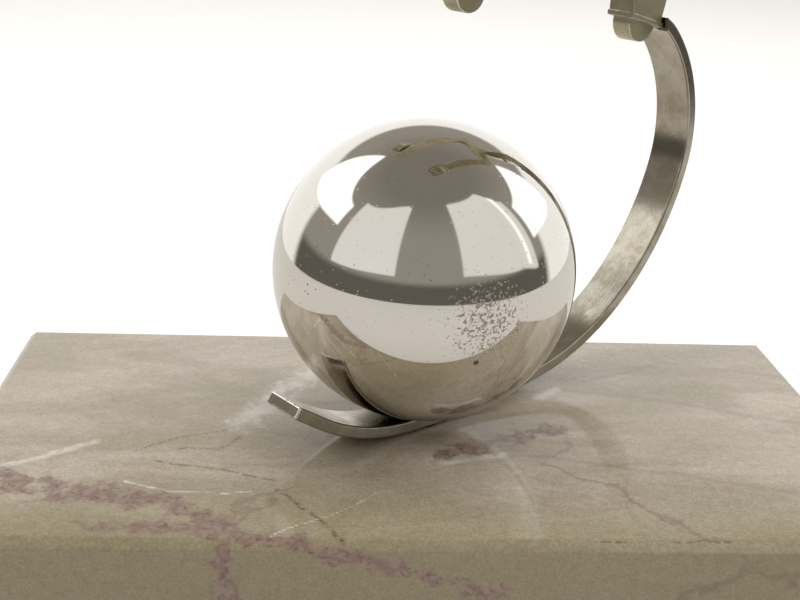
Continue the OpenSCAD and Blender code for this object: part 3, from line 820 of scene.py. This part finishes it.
class SWING_OT_ball(bpy.types.Operator):
    """Turns the ball from its outline: bore, washer recess and sphere"""

    bl_idname = "swing.ball"
    bl_label = "Ball"

    def execute(self, context):
        sizes = context.scene.swing_ball
        ceiling, bore_top = (corner.z for corner in corners_of("ball_bush"))
        rim_z = BALL_MIDDLE.z - math.sqrt(BALL_R ** 2 - sizes.recess_radius ** 2)
        if rim_z > ceiling:
            raise ValueError("the washer recess is wider than the ball allows")
        outline = ((0, bore_top), (sizes.bush_radius, bore_top), (sizes.bush_radius, ceiling),
                   (sizes.recess_radius, ceiling), (sizes.recess_radius, rim_z))
        bm = bmesh.new()
        chain = [bm.verts.new((x, 0, z)) for x, z in outline]
        for a, b in zip(chain, chain[1:]):
            bm.edges.new((a, b))
        round_ball = math.pi - math.asin(sizes.recess_radius / BALL_R)
        bmesh.ops.spin(bm, geom=[chain[-1]], cent=BALL_MIDDLE, axis=(0, -1, 0), angle=round_ball,
                       steps=BALL_RINGS, use_merge=False)
        bmesh.ops.spin(bm, geom=bm.verts[:] + bm.edges[:], cent=(0, 0, 0), axis=(0, 0, 1),
                       angle=math.tau, steps=BALL_SECTORS, use_merge=True)
        bmesh.ops.remove_doubles(bm, verts=bm.verts, dist=2 * WELD)
        bmesh.ops.recalc_face_normals(bm, faces=bm.faces)
        place_piece("polished_ball", bm, "ball", "ball_nickel", ("ball",), 50)
        return {"FINISHED"}


class SWING_OT_band(bpy.types.Operator):
    """Sweeps the crescent band's rounded section along its tangent arcs"""

    bl_idname = "swing.band"
    bl_label = "Crescent Band"

    def execute(self, context):
        sizes = context.scene.swing_band
        bm = bmesh.new()
        half, thick = sizes.width / 2, sizes.thickness
        corners = ((0, -half, 0), (0, half, 0), (0, half, -thick), (0, -half, -thick))
        section = bm.faces.new([bm.verts.new(c) for c in corners])
        bmesh.ops.bevel(bm, geom=section.verts[:], offset=sizes.rounding, offset_type="OFFSET",
                        affect="VERTICES", segments=6, profile=0.5, material=-1)
        bmesh.ops.delete(bm, geom=bm.faces[:], context="FACES_ONLY")
        ring = bm.edges[:]
        rising = ((sizes.sole_radius, sizes.sole_angle), (sizes.rise_radius, sizes.rise_angle),
                  (sizes.shoulder_radius, sizes.shoulder_angle),
                  (sizes.crook_radius, sizes.crook_angle), (sizes.bend_radius, sizes.bend_angle))
        falling = ((sizes.sole_radius, sizes.heel_angle), (sizes.toe_radius, sizes.toe_angle))
        ends = [sweep_band(bm, ring, rising, 1, sizes.clamp_length),
                sweep_band(bm, ring, falling, -1, sizes.toe_tip)]
        for rim in ends:
            bmesh.ops.contextual_create(bm, geom=rim)
        bmesh.ops.remove_doubles(bm, verts=bm.verts, dist=WELD)
        bmesh.ops.recalc_face_normals(bm, faces=bm.faces)
        ease_edges(bm, context.scene.swing_edges.band_end, sharp=60)
        bmesh.ops.translate(bm, vec=(0, 0, SOLE_Z - BUSH_OUT), verts=bm.verts)
        bmesh.ops.rotate(bm, cent=(0, 0, 0), matrix=Matrix.Rotation(YAW, 3, "Z"), verts=bm.verts)
        band = place_piece("crescent", bm, "crescent", "band_nickel", ("crescent_band",), 50)
        cheeks = []
        for side in (-1, 1):
            middle = (sizes.tenon_at - TENON_BOX / 2) * ALONG
            middle += side * (sizes.tenon_width + TENON_BOX) / 2 * ACROSS
            middle.z = TONGUE_MIDDLE.z - sizes.tenon_drop + TENON_BOX / 2
            cheeks.append((middle, Matrix.Rotation(YAW, 3, "Z"), Vector([TENON_BOX] * 3)))
        carve(band, cheeks)
        return {"FINISHED"}


def sweep_band(bm, ring, arcs, side, straight):
    """Carries a ring of edges along arcs that curve upwards, then straight on; returns its rim."""
    foot = Vector((0, 0, 0))
    angle = 0.0
    edges = list(ring)
    for radius, turn in arcs:
        centre = foot + radius * Vector((-side * math.sin(angle), 0, math.cos(angle)))
        made = bmesh.ops.spin(bm, geom=edges, cent=centre, axis=(0, -side, 0), angle=turn,
                              steps=max(4, round(math.degrees(turn) / BAND_STEP)), use_merge=False)
        edges = [g for g in made["geom_last"] if isinstance(g, bmesh.types.BMEdge)]
        angle += turn
        foot = centre + radius * Vector((side * math.sin(angle), 0, -math.cos(angle)))
    made = bmesh.ops.extrude_edge_only(bm, edges=edges)["geom"]
    heading = Vector((side * math.cos(angle), 0, math.sin(angle)))
    bmesh.ops.translate(bm, vec=heading * straight,
                        verts=[g for g in made if isinstance(g, bmesh.types.BMVert)])
    return [g for g in made if isinstance(g, bmesh.types.BMEdge) and g.is_boundary]


class SWING_OT_castings(bpy.types.Operator):
    """Eases the castings' edges: tongue, lug, rocker post, cross-head, rails and tips"""

    bl_idname = "swing.castings"
    bl_label = "Castings"

    def execute(self, context):
        edges = context.scene.swing_edges
        for node in ("clamp_tongue", "rocker_post", "cross_head", "near_rail", "far_rail",
                     "near_tip", "far_tip", "pivot_lug"):
            softened(node, edges.casting)
        return {"FINISHED"}


class SWING_OT_fasteners(bpy.types.Operator):
    """Eases the pivot pin, clips and screws, and cuts the screws' slots"""

    bl_idname = "swing.fasteners"
    bl_label = "Pins and Screws"

    def execute(self, context):
        edges = context.scene.swing_edges
        for node in ("pivot_pin", "pivot_clips", "tip_pins"):
            softened(node, edges.turned)
        post = softened("post_screw", edges.turned)
        low, high = corners_of("post_screw")
        top = Vector(((low.x + high.x) / 2, (low.y + high.y) / 2, high.z))
        carve(post, [(top, Matrix.Rotation(YAW + POST_SLOT_TURN, 3, "Z"), POST_SLOT)])
        rails = softened("rail_screws", edges.turned)
        middle = sum(corners_of("rail_screws"), Vector()) / 2
        points = [v.co - middle for v in rails.data.vertices]
        reach = max(point.dot(ALONG) for point in points)
        slots = []
        for side in (-1, 1):
            spread = max(side * point.dot(ACROSS) for point in points) - RAIL_HEAD_R
            at = middle + reach * ALONG + side * spread * ACROSS
            turn = Matrix.Rotation(YAW, 3, "Z") @ Matrix.Rotation(side * RAIL_SLOT_TURN, 3, "X")
            slots.append((at, turn, RAIL_SLOT))
        carve(rails, slots)
        return {"FINISHED"}


# --- stage ----------------------------------------------------------------------------------

CAMERA_AT = (-0.697, -7.527, 3.629)  # in ball radii, from the stone's top at the stud
CAMERA_PITCH, CAMERA_ROLL, CAMERA_YAW = (math.radians(a) for a in (20.08, 2.61, 4.16))
CAMERA_LENS = 54.09


TABLE_R, FLOOR_R = 0.62, 6.0

# White screens of the studio room, in degrees: the bearings of the left and right sides, the
# lower edge's heights there, the upper edge's heights there; then the brightness
SCREENS = ((-145, -88, (18, 27), (56, 42), 1.7), (-80, -26, (8, 11), (50, 63), 0.92),
           (24, 74, (12, 7), (65, 62), 0.92), (72, 89, (7, 3), (62, 46), 0.92),
           (79, 84, (8, 6), (55, 51), 1.5), (93, 131, (17, 12), (38, 44), 1.7))


def add_camera():
    """The camera, low and to the front left."""
    camera = bpy.data.cameras.new("camera")
    camera.lens = CAMERA_LENS
    camera.sensor_width = 36
    camera.clip_start = 0.01
    camera.dof.use_dof = False
    holder = bpy.data.objects.new("camera", camera)
    ahead = Vector((math.sin(CAMERA_YAW) * math.cos(CAMERA_PITCH),
                    math.cos(CAMERA_YAW) * math.cos(CAMERA_PITCH), -math.sin(CAMERA_PITCH)))
    level = Vector((math.cos(CAMERA_YAW), -math.sin(CAMERA_YAW), 0))
    upright = level.cross(ahead)
    side = math.cos(CAMERA_ROLL) * level + math.sin(CAMERA_ROLL) * upright
    top = -math.sin(CAMERA_ROLL) * level + math.cos(CAMERA_ROLL) * upright
    turn = Matrix((side, top, -ahead)).transposed()
    place = Vector(CAMERA_AT) * BALL_R + Vector((0, 0, STONE_HIGH.z))
    holder.matrix_world = Matrix.Translation(place) @ turn.to_4x4()
    bpy.context.scene.collection.objects.link(holder)
    bpy.context.scene.camera = holder


def add_floor():
    """A plain, pale table, and a wide pale floor beyond it that mirrors don't show."""
    material, board, shader = new_material("table_white")
    fleck = board.noise(board.place(), 300.0, 3.0)
    pale = board.mix(fleck, (0.80, 0.785, 0.765), (0.83, 0.815, 0.795))
    mirrored = board.node("ShaderNodeLightPath").outputs["Is Glossy Ray"]
    board.feed(shader.inputs["Base Color"], board.mix(mirrored, pale, (0.62, 0.595, 0.575)))
    shader.inputs["Roughness"].default_value = 0.75
    shader.inputs["Emission Color"].default_value = (1, 1, 1, 1)
    board.feed(shader.inputs["Emission Strength"], board.steps(mirrored, 0.0, 1.0, 0.12, 0.0))
    for name, inner, outer in (("table", 0.0, TABLE_R), ("floor", TABLE_R, FLOOR_R)):
        bm = bmesh.new()
        bmesh.ops.create_circle(bm, cap_ends=inner == 0, segments=96, radius=outer)
        if inner:
            bmesh.ops.create_circle(bm, segments=96, radius=inner)
            bmesh.ops.bridge_loops(bm, edges=bm.edges)
            bmesh.ops.recalc_face_normals(bm, faces=bm.faces)
        mesh = bpy.data.meshes.new(name)
        bm.to_mesh(mesh)
        bm.free()
        ground = bpy.data.objects.new(name, mesh)
        ground.visible_glossy = inner == 0
        bpy.context.scene.collection.objects.link(ground)
        mesh.materials.append(material)


def add_room():
    """A studio room painted on the world: white screens left and right, a dark gap and ceiling."""
    world = bpy.data.worlds.new("studio")
    world.use_nodes = True
    bpy.context.scene.world = world
    tree = world.node_tree
    board = Board(tree)
    back = next(n for n in tree.nodes if n.type == "BACKGROUND")
    out = next(n for n in tree.nodes if n.type == "OUTPUT_WORLD")
    aim = board.node("ShaderNodeTexCoord").outputs["Generated"]
    parts = board.node("ShaderNodeSeparateXYZ")
    board.feed(parts.inputs[0], aim)
    x, y, z = parts.outputs
    rise = board.math("ARCSINE", z)
    # bearing from the front, 0 towards the camera and positive to its right
    bearing = board.math("ARCTAN2", x, board.times(y, -1.0))

    def between(value, low, high, soft=0.03):
        """1 from low to high, with soft ends."""
        up = board.steps(value, math.radians(low) - soft, math.radians(low) + soft)
        down = board.steps(value, math.radians(high) - soft, math.radians(high) + soft, 1.0, 0.0)
        return board.times(up, down)

    def tilted(value, left, right, at_left, at_right):
        """A height that runs evenly from one bearing's value to another's."""
        return board.steps(value, math.radians(left), math.radians(right),
                           math.radians(at_left), math.radians(at_right))

    def screen(left, right, low, high, power):
        """A screen from bearing left to right, with its lower and upper heights at both ends."""
        floor, ceiling = tilted(bearing, left, right, *low), tilted(bearing, left, right, *high)
        above = board.steps(board.math("SUBTRACT", rise, floor), -0.02, 0.02)
        below = board.steps(board.math("SUBTRACT", ceiling, rise), -0.02, 0.02)
        level = board.times(above, below)
        mask = board.times(between(bearing, left, right), level)
        return board.times(mask, power)

    overhead = board.steps(rise, math.radians(35), math.radians(70), 0.36, 0.24)
    front = between(bearing, -116, 98, 0.08)
    low_strip = board.times(front, between(rise, -95, 7, 0.05))
    open_share = board.math("SUBTRACT", 1.0, board.times(low_strip, 0.62))
    light = board.times(overhead, open_share)
    sweep = board.times(board.math("SUBTRACT", 1.0, front), between(rise, -95, 27, 0.06))
    light = board.math("MAXIMUM", light, board.times(sweep, 1.15))
    for panel in SCREENS:
        light = board.math("MAXIMUM", light, screen(*panel))
    board.feed(back.inputs["Strength"], 1.0)
    warm = board.mix(board.steps(light, 0.15, 0.9), (1.0, 0.92, 0.80), (1.0, 0.99, 0.965))
    board.feed(back.inputs["Color"], board.scaled(warm, light))
    seen = board.node("ShaderNodeBackground")
    seen.inputs["Color"].default_value = (1, 1, 1, 1)
    seen.inputs["Strength"].default_value = 1.0
    path = board.node("ShaderNodeLightPath")
    choose = board.node("ShaderNodeMixShader")
    board.feed(choose.inputs[0], path.outputs["Is Camera Ray"])
    tree.links.new(back.outputs[0], choose.inputs[1])
    tree.links.new(seen.outputs[0], choose.inputs[2])
    tree.links.new(choose.outputs[0], out.inputs["Surface"])


def add_lamp(name, place, aim, side, power):
    """A square soft light that the camera doesn't see."""
    lamp = bpy.data.lights.new(name, "AREA")
    lamp.shape = "SQUARE"
    lamp.size = side
    lamp.energy = power
    holder = bpy.data.objects.new(name, lamp)
    holder.location = place
    holder.rotation_euler = (Vector(aim) - Vector(place)).to_track_quat("-Z", "Y").to_euler()
    holder.visible_camera = False
    holder.visible_glossy = False
    bpy.context.scene.collection.objects.link(holder)


class SWING_OT_stage(bpy.types.Operator):
    """Adds the table, the studio room, the lights and the camera"""

    bl_idname = "swing.stage"
    bl_label = "Stage"

    def execute(self, context):
        add_camera()
        add_floor()
        add_room()
        middle = (0, 0, STONE_HIGH.z)
        add_lamp("key_light", (0.9, -0.6, 1.2), middle, 0.7, 5.5)
        add_lamp("fill_light", (-1.1, -0.3, 1.0), middle, 0.8, 4)
        add_lamp("top_light", (0.1, 0.45, 1.5), (0, 0.2, 0), 1.2, 13)
        context.scene.view_settings.view_transform = "Standard"
        return {"FINISHED"}


# --- panel and registration -----------------------------------------------------------------

OPERATORS = (SWING_OT_stage, SWING_OT_plinth, SWING_OT_stud, SWING_OT_ball, SWING_OT_band,
             SWING_OT_castings, SWING_OT_fasteners)
GROUPS = {"swing_band": BandSizes, "swing_ball": BallSizes, "swing_edges": EdgeSizes,
          "swing_finishes": Finishes}


class SWING_PT_panel(bpy.types.Panel):
    """Lists the toy's sizes, finishes and steps"""

    bl_idname = "SWING_PT_panel"
    bl_label = "Desk Swing Toy"
    bl_space_type = "VIEW_3D"
    bl_region_type = "UI"
    bl_category = "Swing Toy"

    def draw(self, context):
        for name, kind in GROUPS.items():
            box = self.layout.box()
            box.label(text=kind.__doc__)
            for prop in kind.__annotations__:
                box.prop(getattr(context.scene, name), prop)
        for operator in OPERATORS:
            self.layout.operator(operator.bl_idname)


def register():
    """Registers the settings, operators and panel."""
    for kind in (*GROUPS.values(), *OPERATORS, SWING_PT_panel):
        bpy.utils.register_class(kind)
    for name, kind in GROUPS.items():
        setattr(bpy.types.Scene, name, PointerProperty(type=kind))


def unregister():
    """Takes back what register added."""
    for name in GROUPS:
        delattr(bpy.types.Scene, name)
    for kind in reversed((*GROUPS.values(), *OPERATORS, SWING_PT_panel)):
        bpy.utils.unregister_class(kind)


def main():
    """Builds the whole toy."""
    register()
    bpy.ops.swing.stage()
    bpy.ops.swing.plinth()
    bpy.ops.swing.stud()
    bpy.ops.swing.ball()
    bpy.ops.swing.band()
    bpy.ops.swing.castings()
    bpy.ops.swing.fasteners()


if __name__ == "__main__":
    main()
